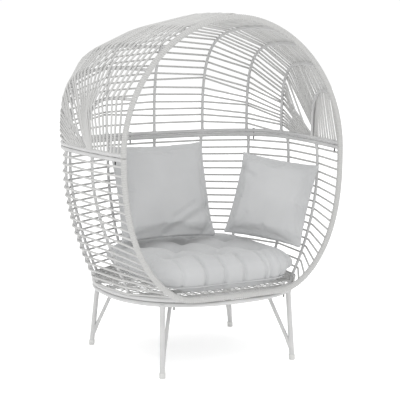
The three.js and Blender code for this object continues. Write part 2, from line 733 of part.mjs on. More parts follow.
addHoops();
addRails();
addRibs();
addBase();
addSeatBars();
addSeatWeave();
addWeave(upperRib, UPPER_RIBS.map((rib) => rib.rail), UPPER_RIB_STEPS, UPPER_WEAVE);
addWeave(lowerColumn, LOWER_RIBS, LOWER_RIB_STEPS, LOWER_WEAVE);
addLegs();
addBolts();
addSeatCushion();
addPillows();

const box = new THREE.Box3().setFromObject(chair);
chair.position.y = -(box.min.y + box.max.y) / 2;

export default chair;
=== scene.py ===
"""Looks of a standing egg chair: a woven steel cage on four legs, a tufted seat and two back cushions."""

import math

import bmesh
import bpy
import numpy as np
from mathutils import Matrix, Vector, noise


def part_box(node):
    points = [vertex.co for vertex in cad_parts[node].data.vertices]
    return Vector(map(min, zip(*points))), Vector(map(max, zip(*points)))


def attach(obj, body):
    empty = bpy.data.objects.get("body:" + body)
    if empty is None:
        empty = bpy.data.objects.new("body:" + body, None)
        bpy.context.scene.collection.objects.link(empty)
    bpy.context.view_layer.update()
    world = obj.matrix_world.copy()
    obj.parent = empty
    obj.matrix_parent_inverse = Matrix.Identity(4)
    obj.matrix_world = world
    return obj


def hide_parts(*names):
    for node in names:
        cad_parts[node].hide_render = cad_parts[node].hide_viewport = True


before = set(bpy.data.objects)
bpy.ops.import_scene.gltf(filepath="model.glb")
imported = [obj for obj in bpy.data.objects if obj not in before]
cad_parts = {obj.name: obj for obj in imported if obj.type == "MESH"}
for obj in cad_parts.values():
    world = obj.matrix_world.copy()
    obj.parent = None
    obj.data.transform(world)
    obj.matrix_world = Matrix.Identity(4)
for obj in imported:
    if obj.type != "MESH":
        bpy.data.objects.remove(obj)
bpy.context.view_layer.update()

# ---------- driving dimensions, in metres ----------

# Front hoop, in two superellipse halves
SPLIT_Z = 0.937
HOOP_HALF_WIDTH = 0.510
HOOP_RISE = 0.549
HOOP_TOP_POWER = 1.95
HOOP_DROP = 0.653
HOOP_LOW_POWER = 2.5
HOOP_LEAN = 0.023
HOOP_RADIUS = 0.013
CHORD_Z = 0.330
CHORD_BEND = 0.012
HOOP_CORNER_TURN = -1.17
HOOP_START = 0.001

# Mid rails
RAIL_HALF_WIDTH = 0.552
RAIL_STRAIGHT = 0.452
RAIL_DEPTH = 0.780
RAIL_POWER = 2.78
RAIL_CORNER_SHARE = 0.62
RAIL_RADIUS = 0.0088
RAIL_OFFSET = 0.0092

# Ribs: place along half of the rail, and distance of the front end from the centre line
RIB_RADIUS = 0.0065
UPPER_RIBS = ((0, 0), (0.13, 0.206), (0.33, 0.310), (0.55, 0.392), (0.765, 0.460), (1, HOOP_HALF_WIDTH))
UPPER_RIB_RISE = 0.95
UPPER_RIB_REACH = 0.81
UPPER_RIB_LEAN = 0.03
UPPER_RIB_DIP = 0.018
LOWER_RIBS = (0, 0.125, 0.34, 0.595, 0.8)
LOWER_RIB_FALL = 0.352
LOWER_RIB_REACH = 0.302
LOWER_RIB_FLARE = 0.122
LOWER_RIB_TUCK = 0.456
LOWER_RIB_BACK_SHARE = 0.3
EGG_AXIS_DEPTH = 0.400

# Base
RING_HALF_WIDTH = 0.427
RING_MIDDLE = 0.394
RING_HALF_DEPTH = 0.406
RING_POWER = 2.34
BASE_RING_Z = 0.330
BASE_RING_RADIUS = 0.011
BASE_RING_END = 2.89
RIB_TURN = 2.49
LEG_RING_Z = 0.309
LEG_RING_RADIUS = 0.0095
SEAT_BAR_DEPTHS = (0.190, 0.394, 0.600)
SEAT_BAR_RADIUS = 0.007
FEET = {
    "front_left": (-0.316, 0.060, 0.06),
    "front_right": (0.316, 0.060, 0.06),
    "rear_left": (-0.362, 0.702, 0.08),
    "rear_right": (0.362, 0.702, 0.08),
}
LEG_RADIUS = 0.011
LEG_FOOT_Z = 0.0045
BRACE_RADIUS = 0.008
BRACE_FOOT_Z = 0.050
BRACE_LEAN = 0.27
CROSS_TUBE_RADIUS = 0.009
CAP_RADIUS = 0.0132
CAP_HEIGHT = 0.024

# Weave
STRAND_RADIUS = 0.0044
STRAND_STAND = 0.0124
UPPER_STRANDS = 33
LOWER_STRANDS = 18
WRAP_PITCH = 0.0090
LATTICE_PITCH = 0.032
LATTICE_RADIUS = 0.0022
LATTICE_Z = 0.3428

DIRECTION_STEP = 0.01
QUARTER = math.pi / 2
FULL_TURN = math.pi * 2

# The CAD centres the chair; its leg ring says how far back it stands.
ring_low, ring_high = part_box("leg_ring")
SHIFT_Y = (ring_low.y + ring_high.y) / 2 - RING_MIDDLE


def at(x, depth, z):
    """A point from its distance behind the hoop, in the frame's axes."""
    return np.array((x, depth + SHIFT_Y, z))


# ---------- outlines, the same as the CAD's ----------


def signed_power(value, power):
    return math.copysign(abs(value) ** power, value)


def hoop_point(turn):
    """turn: 0 at the right, a quarter at the top, minus a quarter at the middle of the chord."""
    upper = math.sin(turn) >= 0
    power = 2 / (HOOP_TOP_POWER if upper else HOOP_LOW_POWER)
    x = HOOP_HALF_WIDTH * signed_power(math.cos(turn), power)
    rise = (HOOP_RISE if upper else HOOP_DROP) * signed_power(math.sin(turn), power)
    above = SPLIT_Z + rise - CHORD_Z
    z = CHORD_Z + (above + math.hypot(above, 2 * CHORD_BEND)) / 2
    return at(x, HOOP_LEAN * (z - SPLIT_Z), z)


def hoop_height_at(x):
    share = abs(x) / HOOP_HALF_WIDTH
    return SPLIT_Z + HOOP_RISE * max(0, 1 - share**HOOP_TOP_POWER) ** (1 / HOOP_TOP_POWER)


def rail_point(place, z):
    """place: 0 at the middle of the back, 1 at the right end, -1 at the left end."""
    share = abs(place)
    if share <= RAIL_CORNER_SHARE:
        turn = share / RAIL_CORNER_SHARE * QUARTER
        x = RAIL_HALF_WIDTH * math.sin(turn) ** (2 / RAIL_POWER)
        depth = RAIL_STRAIGHT + (RAIL_DEPTH - RAIL_STRAIGHT) * abs(math.cos(turn)) ** (2 / RAIL_POWER)
    else:
        along = (share - RAIL_CORNER_SHARE) / (1 - RAIL_CORNER_SHARE)
        x = RAIL_HALF_WIDTH - (RAIL_HALF_WIDTH - HOOP_HALF_WIDTH) * along**2
        depth = RAIL_STRAIGHT * (1 - along)
    return at(math.copysign(x, place), depth, z)


def ring_point(turn, z, inset=0):
    """turn: 0 at the middle of the back, half a turn at the middle of the front."""
    x = (RING_HALF_WIDTH - inset) * signed_power(math.sin(turn), 2 / RING_POWER)
    depth = RING_MIDDLE + (RING_HALF_DEPTH - inset) * signed_power(math.cos(turn), 2 / RING_POWER)
    return at(x, depth, z)


def ring_half_width_at(depth, inset=0):
    share = min(1, abs(depth - RING_MIDDLE) / (RING_HALF_DEPTH - inset))
    return (RING_HALF_WIDTH - inset) * (1 - share**RING_POWER) ** (1 / RING_POWER)


def ring_half_depth_at(x, inset=0):
    share = min(1, abs(x) / (RING_HALF_WIDTH - inset))
    return (RING_HALF_DEPTH - inset) * (1 - share**RING_POWER) ** (1 / RING_POWER)


def unit(vector):
    return vector / max(np.linalg.norm(vector), 1e-12)


class Rail:
    """A line through many points, read by its share of arc length."""

    def __init__(self, points):
        self.points = np.array(points)
        steps = np.linalg.norm(np.diff(self.points, axis=0), axis=1)
        self.marks = np.concatenate(([0], np.cumsum(steps)))
        self.length = self.marks[-1]

    def at(self, share):
        place = np.clip(share, 0, 1) * self.length
        return np.array([np.interp(place, self.marks, self.points[:, axis]) for axis in range(3)])

    def direction(self, share):
        return self.at(share + DIRECTION_STEP) - self.at(share - DIRECTION_STEP)

    def spread(self, count):
        return np.array([self.at(i / (count - 1)) for i in range(count)])


def bezier(a, b, c, d, samples=80):
    points = []
    for i in range(samples + 1):
        t = i / samples
        u = 1 - t
        points.append(u**3 * a + 3 * u * u * t * b + 3 * u * t * t * c + t**3 * d)
    return Rail(points)


def upper_rib(place):
    foot = rail_point(place, SPLIT_Z + RAIL_OFFSET)
    stations = [row[0] for row in UPPER_RIBS]
    x = math.copysign(np.interp(abs(place), stations, [row[1] for row in UPPER_RIBS]), place)
    z = hoop_height_at(x)
    end = at(x, HOOP_LEAN * (z - SPLIT_Z), z)
    back = foot - end
    back[2] = 0
    reach = np.linalg.norm(back) * UPPER_RIB_REACH
    rise = (end[2] - foot[2]) * UPPER_RIB_RISE
    back = unit(back)
    up = np.array((0, 0, 1))
    over_foot = foot + rise * (back * math.sin(UPPER_RIB_LEAN) + up * math.cos(UPPER_RIB_LEAN))
    behind_end = end + reach * (back * math.cos(UPPER_RIB_DIP) + up * math.sin(UPPER_RIB_DIP))
    return bezier(foot, over_foot, behind_end, end)


def lower_rib(place):
    top = rail_point(place, SPLIT_Z - RAIL_OFFSET)
    end = ring_point(place * RIB_TURN, BASE_RING_Z)
    fall = top[2] - end[2]
    out = top - at(0, EGG_AXIS_DEPTH, 0)
    out[2] = 0
    out = unit(out)
    sideways = LOWER_RIB_BACK_SHARE + (1 - LOWER_RIB_BACK_SHARE) * abs(out[0])
    flare = LOWER_RIB_FLARE * sideways
    tuck = LOWER_RIB_TUCK * sideways
    up = np.array((0, 0, 1))
    under_top = top + fall * LOWER_RIB_FALL * (out * math.sin(flare) - up * math.cos(flare))
    over_end = end + fall * LOWER_RIB_REACH * (out * math.sin(tuck) + up * math.cos(tuck))
    return bezier(top, under_top, over_end, end)


# ---------- mesh making ----------


class Skin:
    """Collects tubes and lathed shapes, and becomes one mesh object."""

    def __init__(self):
        self.points = []
        self.faces = []
        self.strand = []
        self.tone = []
        self.count = 0

    def add(self, points, faces, strand, tone):
        self.points.append(points)
        self.faces += [tuple(i + self.count for i in face) for face in faces]
        self.strand.append(strand)
        self.tone.append(np.full(len(points), tone))
        self.count += len(points)

    def tube(self, path, radius, sides=12, closed=False, tone=0.5):
        """A round tube along a path. radius is one number or one for each point."""
        path = np.array(path)
        count = len(path)
        radii = np.broadcast_to(radius, (count,))
        if closed:
            ahead = np.roll(path, -1, axis=0) - np.roll(path, 1, axis=0)
        else:
            ahead = np.gradient(path, axis=0)
        ahead /= np.linalg.norm(ahead, axis=1)[:, None]
        side = unit(np.cross(ahead[0], (0.31, 0.52, 0.79)))
        angles = np.arange(sides) / sides * FULL_TURN
        cosines = np.cos(angles)[:, None]
        sines = np.sin(angles)[:, None]
        rows = []
        for i in range(count):
            side = unit(side - ahead[i] * (side @ ahead[i]))
            other = np.cross(ahead[i], side)
            rows.append(path[i] + radii[i] * (cosines * side + sines * other))
        steps = np.linalg.norm(np.diff(path, axis=0), axis=1)
        marks = np.concatenate(([0], np.cumsum(steps)))
        around = np.concatenate((cosines, sines), axis=1) * float(np.max(radii))
        strand = np.concatenate([np.column_stack((np.full(sides, mark), around)) for mark in marks])
        faces = []
        for i in range(count if closed else count - 1):
            here = i * sides
            there = (i + 1) % count * sides
            shift = self.twist(rows[-1], rows[0], sides) if closed and i == count - 1 else 0
            for k in range(sides):
                after = (k + 1) % sides
                near = there + (k + shift) % sides
                far = there + (after + shift) % sides
                faces.append((here + k, here + after, far, near))
        if not closed:
            faces.append(tuple(reversed(range(sides))))
            faces.append(tuple(range((count - 1) * sides, count * sides)))
        self.add(np.concatenate(rows), faces, strand, tone)

    @staticmethod
    def twist(last, first, sides):
        gaps = np.linalg.norm(first - last[0], axis=1)
        return int(np.argmin(gaps)) % sides

    def lathe(self, profile, centre_at, sides=24, tone=0.5):
        """Level rings of the profile's (radius, height) pairs, each round the point that centre_at gives."""
        rows = []
        for radius, height in profile:
            centre = centre_at(height)
            angles = (np.arange(sides) + 0.5) / sides * FULL_TURN
            offsets = np.column_stack((np.cos(angles), np.sin(angles), np.zeros(sides))) * radius
            rows.append(centre + offsets)
        faces = []
        for i in range(len(rows) - 1):
            for k in range(sides):
                after = (k + 1) % sides
                faces.append((i * sides + k, i * sides + after, (i + 1) * sides + after, (i + 1) * sides + k))
        faces.append(tuple(reversed(range(sides))))
        faces.append(tuple(range((len(rows) - 1) * sides, len(rows) * sides)))
        points = np.concatenate(rows)
        strand = points[:, (2, 0, 1)] - centre_at(profile[0][1])[[2, 0, 1]]
        self.add(points, faces, strand, tone)

    def build(self, name, material, replaced=(), body="frame", smooth_angle=50):
        mesh = bpy.data.meshes.new(name)
        mesh.from_pydata(np.concatenate(self.points).tolist(), [], self.faces)
        strand = mesh.attributes.new("strand", "FLOAT_VECTOR", "POINT")
        strand.data.foreach_set("vector", np.concatenate(self.strand).astype(np.float32).ravel())
        tone = mesh.attributes.new("tone", "FLOAT", "POINT")
        tone.data.foreach_set("value", np.concatenate(self.tone).astype(np.float32))
        mesh.materials.append(material)
        mesh.polygons.foreach_set("use_smooth", [True] * len(mesh.polygons))
        mesh.set_sharp_from_angle(angle=math.radians(smooth_angle))
        piece = bpy.data.objects.new(name, mesh)
        bpy.context.scene.collection.objects.link(piece)
        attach(piece, body)
        if replaced:
            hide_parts(*replaced)
        return piece


def flared(path, radius, start, end, swell=0.0026, reach=0.005):
    """Radii of a tube that widens into a weld where it leaves the tubes that it meets."""
    steps = np.linalg.norm(np.diff(path, axis=0), axis=1)
    marks = np.concatenate(([0], np.cumsum(steps)))
    from_start = np.maximum(marks - start, 0)
    from_end = np.maximum(marks[-1] - marks - end, 0)
    return radius + swell * (np.exp(-from_start / reach) + np.exp(-from_end / reach))


def weld_spaced(line, count, crowd=0.02, crowd_steps=6):
    """Points along a line, closer together near its two ends, where the welds are."""
    ends = np.linspace(0, crowd, crowd_steps, endpoint=False)
    middle = np.linspace(crowd, line.length - crowd, count)
    marks = np.concatenate((ends, middle, line.length - ends[::-1]))
    return np.array([line.at(mark / line.length) for mark in marks])


# ---------- materials ----------


class Finish:
    """A material's nodes, with short names for the ones that repeat."""

    def __init__(self, name):
        self.material = bpy.data.materials.new(name)
        self.material.use_nodes = True
        self.nodes = self.material.node_tree.nodes
        self.links = self.material.node_tree.links
        self.shader = self.nodes["Principled BSDF"]

    def node(self, kind, **settings):
        made = self.nodes.new(kind)
        for key, value in settings.items():
            setattr(made, key, value)
        return made

    def link(self, source, target):
        self.links.new(source, target)

    def object_space(self):
        return self.node("ShaderNodeTexCoord").outputs["Object"]

    def attribute(self, name, output="Vector"):
        return self.node("ShaderNodeAttribute", attribute_name=name).outputs[output]

    def stretched(self, vector, scale):
        mapping = self.node("ShaderNodeMapping")
        mapping.inputs["Scale"].default_value = scale
        self.link(vector, mapping.inputs["Vector"])
        return mapping.outputs["Vector"]

    def noise(self, vector, scale, detail=3.0, roughness=0.5):
        made = self.node("ShaderNodeTexNoise")
        made.inputs["Scale"].default_value = scale
        made.inputs["Detail"].default_value = detail
        made.inputs["Roughness"].default_value = roughness
        self.link(vector, made.inputs["Vector"])
        return made.outputs["Fac"]

    def ramp(self, value, stops):
        made = self.node("ShaderNodeValToRGB")
        elements = made.color_ramp.elements
        while len(elements) < len(stops):
            elements.new(0.5)
        for element, (place, colour) in zip(elements, stops):
            element.position = place
            element.color = (*colour, 1) if len(colour) == 3 else colour
        self.link(value, made.inputs["Fac"])
        return made.outputs["Color"]

    def mix(self, share, first, second, kind="MIX"):
        made = self.node("ShaderNodeMix", data_type="RGBA", blend_type=kind)
        for source, socket in ((share, made.inputs[0]), (first, made.inputs[6]), (second, made.inputs[7])):
            if isinstance(source, (int, float)):
                socket.default_value = source
            elif isinstance(source, tuple):
                socket.default_value = (*source, 1)
            else:
                self.link(source, socket)
        return made.outputs[2]

    def range(self, value, low, high):
        made = self.node("ShaderNodeMapRange")
        made.inputs["To Min"].default_value = low
        made.inputs["To Max"].default_value = high
        self.link(value, made.inputs["Value"])
        return made.outputs["Result"]

    def bump(self, height, distance, strength, before=None):
        made = self.node("ShaderNodeBump")
        made.inputs["Distance"].default_value = distance
        made.inputs["Strength"].default_value = strength
        self.link(height, made.inputs["Height"])
        if before is not None:
            self.link(before, made.inputs["Normal"])
        return made.outputs["Normal"]

    def finish(self, colour, roughness, normal, **constants):
        self.link(colour, self.shader.inputs["Base Color"])
        self.link(roughness, self.shader.inputs["Roughness"])
        self.link(normal, self.shader.inputs["Normal"])
        for key, value in constants.items():
            self.shader.inputs[key.replace("_", " ")].default_value = value
        return self.material


def wicker_finish(name, light, dark):
    """Round extruded strand: fine lines along it, strands that differ a little, faint grime."""
    made = Finish(name)
    along = made.stretched(made.attribute("strand"), (14, 900, 900))
    lines = made.noise(along, 1.0, 4.0, 0.6)
    cloud = made.noise(made.object_space(), 9.0, 3.0)
    strand_tone = made.attribute("tone", "Fac")
    colour = made.mix(strand_tone, dark, light)
    colour = made.mix(made.range(lines, 0.0, 0.35), colour, made.mix(0.5, dark, (0.5, 0.5, 0.49)))
    colour = made.mix(made.range(cloud, 0.0, 0.16), colour, (0.52, 0.51, 0.48))
    roughness = made.range(lines, 0.42, 0.62)
    normal = made.bump(lines, 0.0004, 0.5)
    return made.finish(colour, roughness, normal, Coat_Weight=0.05, Coat_Roughness=0.4)


def powder_coat():
    """White powder coat on steel: orange peel, soft mottling, a little dirt."""
    made = Finish("powder_coat")
    space = made.object_space()
    peel = made.noise(space, 700.0, 2.0)
    cloud = made.noise(space, 14.0, 4.0)
    speck = made.noise(space, 160.0, 5.0, 0.7)
    colour = made.ramp(cloud, [(0.3, (0.47, 0.47, 0.47)), (0.7, (0.53, 0.53, 0.527))])
    specks = made.ramp(speck, [(0.64, (0, 0, 0)), (0.72, (1, 1, 1))])
    colour = made.mix(made.range(specks, 0.0, 0.12), colour, (0.42, 0.41, 0.39))
    roughness = made.range(speck, 0.34, 0.5)
    normal = made.bump(peel, 0.0003, 0.25)
    return made.finish(colour, roughness, normal, Coat_Weight=0.15, Coat_Roughness=0.25)


def moulded_plastic():
    """Fine spark-eroded moulding texture with scuffs low down."""
    made = Finish("foot_plastic")
    space = made.object_space()
    grain = made.noise(space, 1500.0, 2.0)
    scuff = made.noise(made.stretched(space, (60, 60, 400)), 1.0, 5.0, 0.7)
    colour = made.ramp(scuff, [(0.35, (0.53, 0.53, 0.52)), (0.7, (0.63, 0.63, 0.62))])
    roughness = made.range(grain, 0.45, 0.6)
    normal = made.bump(grain, 0.0002, 0.3)
    return made.finish(colour, roughness, normal)


def dark_zinc():
    """Dark zinc plate: cloudy, with brushed lines."""
    made = Finish("bolt_zinc")
    space = made.object_space()
    cloud = made.noise(space, 400.0, 4.0)
    lines = made.noise(made.stretched(space, (300, 300, 5000)), 1.0, 2.0)
    colour = made.ramp(cloud, [(0.3, (0.035, 0.035, 0.038)), (0.75, (0.11, 0.11, 0.115))])
    roughness = made.range(lines, 0.3, 0.5)
    normal = made.bump(lines, 0.0001, 0.3)
    return made.finish(colour, roughness, normal, Metallic=0.85)


def woven_fabric():
    """Pale polyester canvas: two crossed sets of threads, slubs, soft cloudy shade."""
    made = Finish("cushion_fabric")
    space = made.object_space()
    threads = []
    for direction in ((1, 0.35, 0.1), (0.1, 0.35, 1)):
        turned = made.node("ShaderNodeVectorMath", operation="DOT_PRODUCT")
        turned.inputs[1].default_value = direction
        made.link(space, turned.inputs[0])
        wave = made.node("ShaderNodeMath", operation="MULTIPLY")
        wave.inputs[1].default_value = 4200.0
        made.link(turned.outputs["Value"], wave.inputs[0])
        sine = made.node("ShaderNodeMath", operation="SINE")
        made.link(wave.outputs[0], sine.inputs[0])
        threads.append(sine.outputs[0])
    weave = made.node("ShaderNodeMath", operation="MULTIPLY")
    made.link(threads[0], weave.inputs[0])
    made.link(threads[1], weave.inputs[1])
    slub = made.noise(made.stretched(space, (60, 60, 900)), 1.0, 3.0)
    cloud = made.noise(space, 6.0, 4.0)
    colour = made.ramp(cloud, [(0.3, (0.445, 0.450, 0.455)), (0.7, (0.490, 0.495, 0.499))])
    colour = made.mix(made.range(weave.outputs[0], 0.0, 0.10), colour, (0.33, 0.335, 0.34))
    colour = made.mix(made.range(slub, 0.0, 0.14), colour, (0.62, 0.625, 0.63))
    roughness = made.range(slub, 0.82, 0.98)
    fine = made.bump(weave.outputs[0], 0.0003, 0.35)
    normal = made.bump(made.noise(space, 55.0, 4.0), 0.004, 0.12, fine)
    return made.finish(colour, roughness, normal, Sheen_Weight=0.25, Sheen_Roughness=0.5)


FLOOR_GLOW = 0.30


def floor_finish():
    """White paper that glows a little, so that shadows on it stay faint."""
    made = Finish("studio_floor")
    cloud = made.noise(made.object_space(), 0.8, 2.0)
    colour = made.ramp(cloud, [(0.3, (0.965, 0.965, 0.965)), (0.7, (0.98, 0.98, 0.98))])
    roughness = made.range(cloud, 0.85, 0.95)
    return made.finish(colour, roughness, made.bump(cloud, 0.001, 0.05), Emission_Strength=FLOOR_GLOW)


wicker = wicker_finish("wicker_strand", (0.52, 0.52, 0.515), (0.44, 0.44, 0.435))
wrapped = wicker_finish("wicker_wrap", (0.47, 0.47, 0.465), (0.42, 0.42, 0.415))
paint = powder_coat()
plastic = moulded_plastic()
zinc = dark_zinc()
fabric = woven_fabric()

# ---------- the cage ----------


def wound(line, core_radius, strand_radius, pitch, points_per_turn=12):
    """A strand wound tightly round a line."""
    turns = int(line.length / pitch)
    count = turns * points_per_turn
    coarse = line.spread(240)
    ahead = np.gradient(coarse, axis=0)
    side = unit(np.cross(ahead[0], (0, 1, 0)))
    sides = []
    for direction in ahead:
        direction = unit(direction)
        side = unit(side - direction * (side @ direction))
        sides.append(side)
    sides = np.array(sides)
    points = []
    for i in range(count + 1):
        share = i / count
        centre = line.at(share)
        near = share * (len(coarse) - 1)
        low = min(int(near), len(coarse) - 2)
        direction = unit(ahead[low] + (ahead[low + 1] - ahead[low]) * (near - low))
        first = unit(sides[low] + (sides[low + 1] - sides[low]) * (near - low))
        second = np.cross(direction, first)
        angle = i / points_per_turn * FULL_TURN
        outward = math.cos(angle) * first + math.sin(angle) * second
        points.append(centre + (core_radius + strand_radius) * outward)
    return points


def make_hoop(name, first_turn, last_turn):
    samples = 160
    line = Rail([hoop_point(first_turn + (last_turn - first_turn) * i / samples) for i in range(samples + 1)])
    skin = Skin()
    winding = wound(line, HOOP_RADIUS - 2 * STRAND_RADIUS, STRAND_RADIUS, WRAP_PITCH)
    skin.tube(winding, STRAND_RADIUS * 1.04, sides=6, tone=0.55)
    skin.tube(line.spread(200), HOOP_RADIUS - 0.0022, sides=16, tone=0.3)
    skin.build(f"{name}_wrapped", wrapped, [name])


def make_rail(name, z):
    samples = 120
    line = Rail([rail_point(-1 + 2 * i / samples, z) for i in range(samples + 1)])
    skin = Skin()
    skin.tube(line.spread(150), RAIL_RADIUS, sides=20, tone=0.5)
    skin.build(f"{name}_tube", paint, [name])


def both_sides(places):
    return [-place for place in reversed(places[1:])] + list(places)


def make_ribs(group, rib_at, places, start, end):
    for i, place in enumerate(both_sides(places)):
        path = weld_spaced(rib_at(place), 34)
        skin = Skin()
        skin.tube(path, flared(path, RIB_RADIUS, start, end), sides=16)
        skin.build(f"{group}_{i + 1}_tube", paint, [f"{group}_{i + 1}"])


# ---------- the weave ----------


def rounded(corners, reach=0.014, steps=3):
    """A line of straight spans whose corners are rounded off."""
    points = [corners[0]]
    for before, corner, after in zip(corners, corners[1:], corners[2:]):
        arm = min(reach, np.linalg.norm(corner - before) / 2.2, np.linalg.norm(after - corner) / 2.2)
        first = corner + unit(before - corner) * arm
        last = corner + unit(after - corner) * arm
        for k in range(steps + 1):
            t = k / steps
            points.append((1 - t) ** 2 * first + 2 * t * (1 - t) * corner + t * t * last)
    points.append(corners[-1])
    return points


def stood_off(anchors, downs, stand):
    """Anchors on the ribs moved out along the surface's normal. The first and last stay where they are."""
    axis = at(0, EGG_AXIS_DEPTH, SPLIT_Z)
    moved = [anchors[0]]
    for i in range(1, len(anchors) - 1):
        normals = []
        for across in (anchors[i] - anchors[i - 1], anchors[i + 1] - anchors[i]):
            normal = unit(np.cross(across, downs[i]))
            if normal @ (anchors[i] - axis) < 0:
                normal = -normal
            normals.append(normal)
        mitre = max(0.5, 1 + normals[0] @ normals[1])
        moved.append(anchors[i] + (normals[0] + normals[1]) / mitre * stand)
    moved.append(anchors[-1])
    return moved


def jitter(seed, size):
    """A small steady value between minus and plus size for each seed."""
    return size * noise.noise(Vector((seed * 1.73, seed * 0.71 + 4.2, 9.1)))


# How strands sag towards the ends of the rail: at each rib, by this share of their height at the back
RIB_SAGS = {0: 0, 0.13: 0, 0.33: 0.2, 0.55: 0.5}
# A strand that would cross a rib lower than this ends on the rail, part of the way to that rib
LOWEST_CROSSING = 0.020
EARLY_END = 0.3
EARLY_END_SPAN = 0.55
LAST_RIB = UPPER_RIBS[-2][0]
LAST_RIB_START = 0.34
LAST_RIB_FIRST = 0.012
LAST_RIB_SPAN = 0.948
LAST_RIB_POWER = 1.9
CROSSING_START = 0.74
FAN_PLACES = (0.61, 0.768)
FOOT_PLACES = (0.768, 0.80)
CROSSING_PLACES = (0.80, 0.985)
FAN_FIRST_ROW = 0.05
# Neighbours that lean together where they cross a rib
PAIR_EVERY = 7
PAIR_SHIFT = 0.6
# How far the weave keeps from a rib's two ends
FOOT_CLEARANCE = 0.006
BOTH_ENDS_CLEARANCE = 0.021
UPPER_FIRST_ROW = 1.2
UPPER_ROW_ENDS = 0.9
LOWER_FIRST_ROW = 0.86
LOWER_ROW_ENDS = 0.45
LAYER_STEP = 0.0007
TONE_SPREAD = 0.9


def rib_share(row, place):
    """How far up a rib the strand of that row crosses it."""
    if abs(place) == LAST_RIB:
        climb = max(0, row - LAST_RIB_START) / (1 - LAST_RIB_START)
        return LAST_RIB_FIRST + LAST_RIB_SPAN * climb**LAST_RIB_POWER
    return row * (1 - RIB_SAGS[abs(place)] * (1 - row))


def rail_end_place(row):
    """Where along the rail a strand ends."""
    if row < LAST_RIB_START:
        return np.interp(row, (FAN_FIRST_ROW, LAST_RIB_START), FAN_PLACES)
    if row < CROSSING_START:
        return np.interp(row, (LAST_RIB_START, CROSSING_START), FOOT_PLACES)
    return np.interp(row, (CROSSING_START, 1), CROSSING_PLACES)


def inside_ends(share, rib):
    """The share of a rib's length, kept clear of the rib's two ends."""
    return share * (1 - BOTH_ENDS_CLEARANCE / rib.length) + FOOT_CLEARANCE / rib.length


def rail_tie(place):
    """A point on the outside of the upper rail."""
    foot = rail_point(place, SPLIT_Z + RAIL_OFFSET)
    outward = unit(foot - at(0, EGG_AXIS_DEPTH, foot[2]))
    return foot + outward * RAIL_RADIUS * 0.55 + np.array((0, 0, RAIL_RADIUS * 0.45))


def half_strand(row, strand, side, ribs):
    """A strand's corners from beside the middle rib to its end on the rail, and the ribs' directions."""
    corners = []
    downs = []
    before = 0
    for i, (place, rib) in enumerate(ribs):
        share = rib_share(row, place)
        height = share * rib.length
        if place == LAST_RIB and row < LAST_RIB_START:
            break
        if height < LOWEST_CROSSING:
            reach = EARLY_END + EARLY_END_SPAN * height / LOWEST_CROSSING
            return corners + [rail_tie(side * (before + (place - before) * reach))], downs + [None]
        if (strand + 3 * i + side) % PAIR_EVERY == 0:
            share += PAIR_SHIFT / UPPER_STRANDS * (1 - row)
        share = inside_ends(share, rib)
        corners.append(rib.at(share))
        downs.append(rib.direction(share))
        before = place
    return corners + [rail_tie(side * rail_end_place(row))], downs + [None]


def make_upper_weave():
    skin = Skin()
    places = [row[0] for row in UPPER_RIBS[:-1]]
    middle_rib = upper_rib(0)
    ribs = {side: [(place, upper_rib(side * place)) for place in places[1:]] for side in (-1, 1)}
    for strand in range(UPPER_STRANDS):
        row = (strand + UPPER_FIRST_ROW + jitter(strand, 0.12)) / (UPPER_STRANDS + UPPER_ROW_ENDS)
        left_corners, left_downs = half_strand(row, strand, -1, ribs[-1])
        right_corners, right_downs = half_strand(row, strand, 1, ribs[1])
        share = inside_ends(row, middle_rib)
        corners = left_corners[::-1] + [middle_rib.at(share)] + right_corners
        downs = left_downs[::-1] + [middle_rib.direction(share)] + right_downs
        layer = LAYER_STEP * (strand % 3)
        path = rounded(stood_off(corners, downs, STRAND_STAND + layer))
        skin.tube(path, STRAND_RADIUS, sides=8, tone=0.5 + jitter(strand + 0.5, TONE_SPREAD))
    skin.build("upper_weave_strands", wicker, [f"upper_weave_{i}" for i in (1, 2, 3, 4)])


def make_lower_weave():
    skin = Skin()
    places = both_sides(LOWER_RIBS)
    ribs = [lower_rib(place) for place in places]
    samples = 80
    turns = [-HOOP_START + (HOOP_CORNER_TURN + HOOP_START) * i / samples for i in range(samples + 1)]
    hoop_side = Rail([hoop_point(turn) for turn in turns])
    for strand in range(LOWER_STRANDS):
        row = (strand + LOWER_FIRST_ROW + jitter(strand + 40, 0.08)) / (LOWER_STRANDS + LOWER_ROW_ENDS)
        right_end = hoop_side.at(row)
        left_end = right_end * np.array((-1, 1, 1))
        down = hoop_side.direction(row)
        corners = [left_end]
        downs = [None]
        for rib in ribs:
            corners.append(rib.at(row))
            downs.append(rib.direction(row))
        corners.append(right_end)
        downs.append(None)
        path = stood_off(corners, downs, STRAND_STAND)
        for end, near in ((0, 1), (-1, -2)):
            across = unit(path[near] - path[end])
            outward = np.cross(across, down)
            if outward @ (path[end] - at(0, EGG_AXIS_DEPTH, path[end][2])) < 0:
                outward = -outward
            path[end] = path[end] + unit(outward) * (HOOP_RADIUS - STRAND_RADIUS * 1.2)
        skin.tube(rounded(path), STRAND_RADIUS, sides=8, tone=0.5 + jitter(strand + 30.5, TONE_SPREAD))
    skin.build("lower_weave_strands", wicker, [f"lower_weave_{i}" for i in (1, 2, 3)])


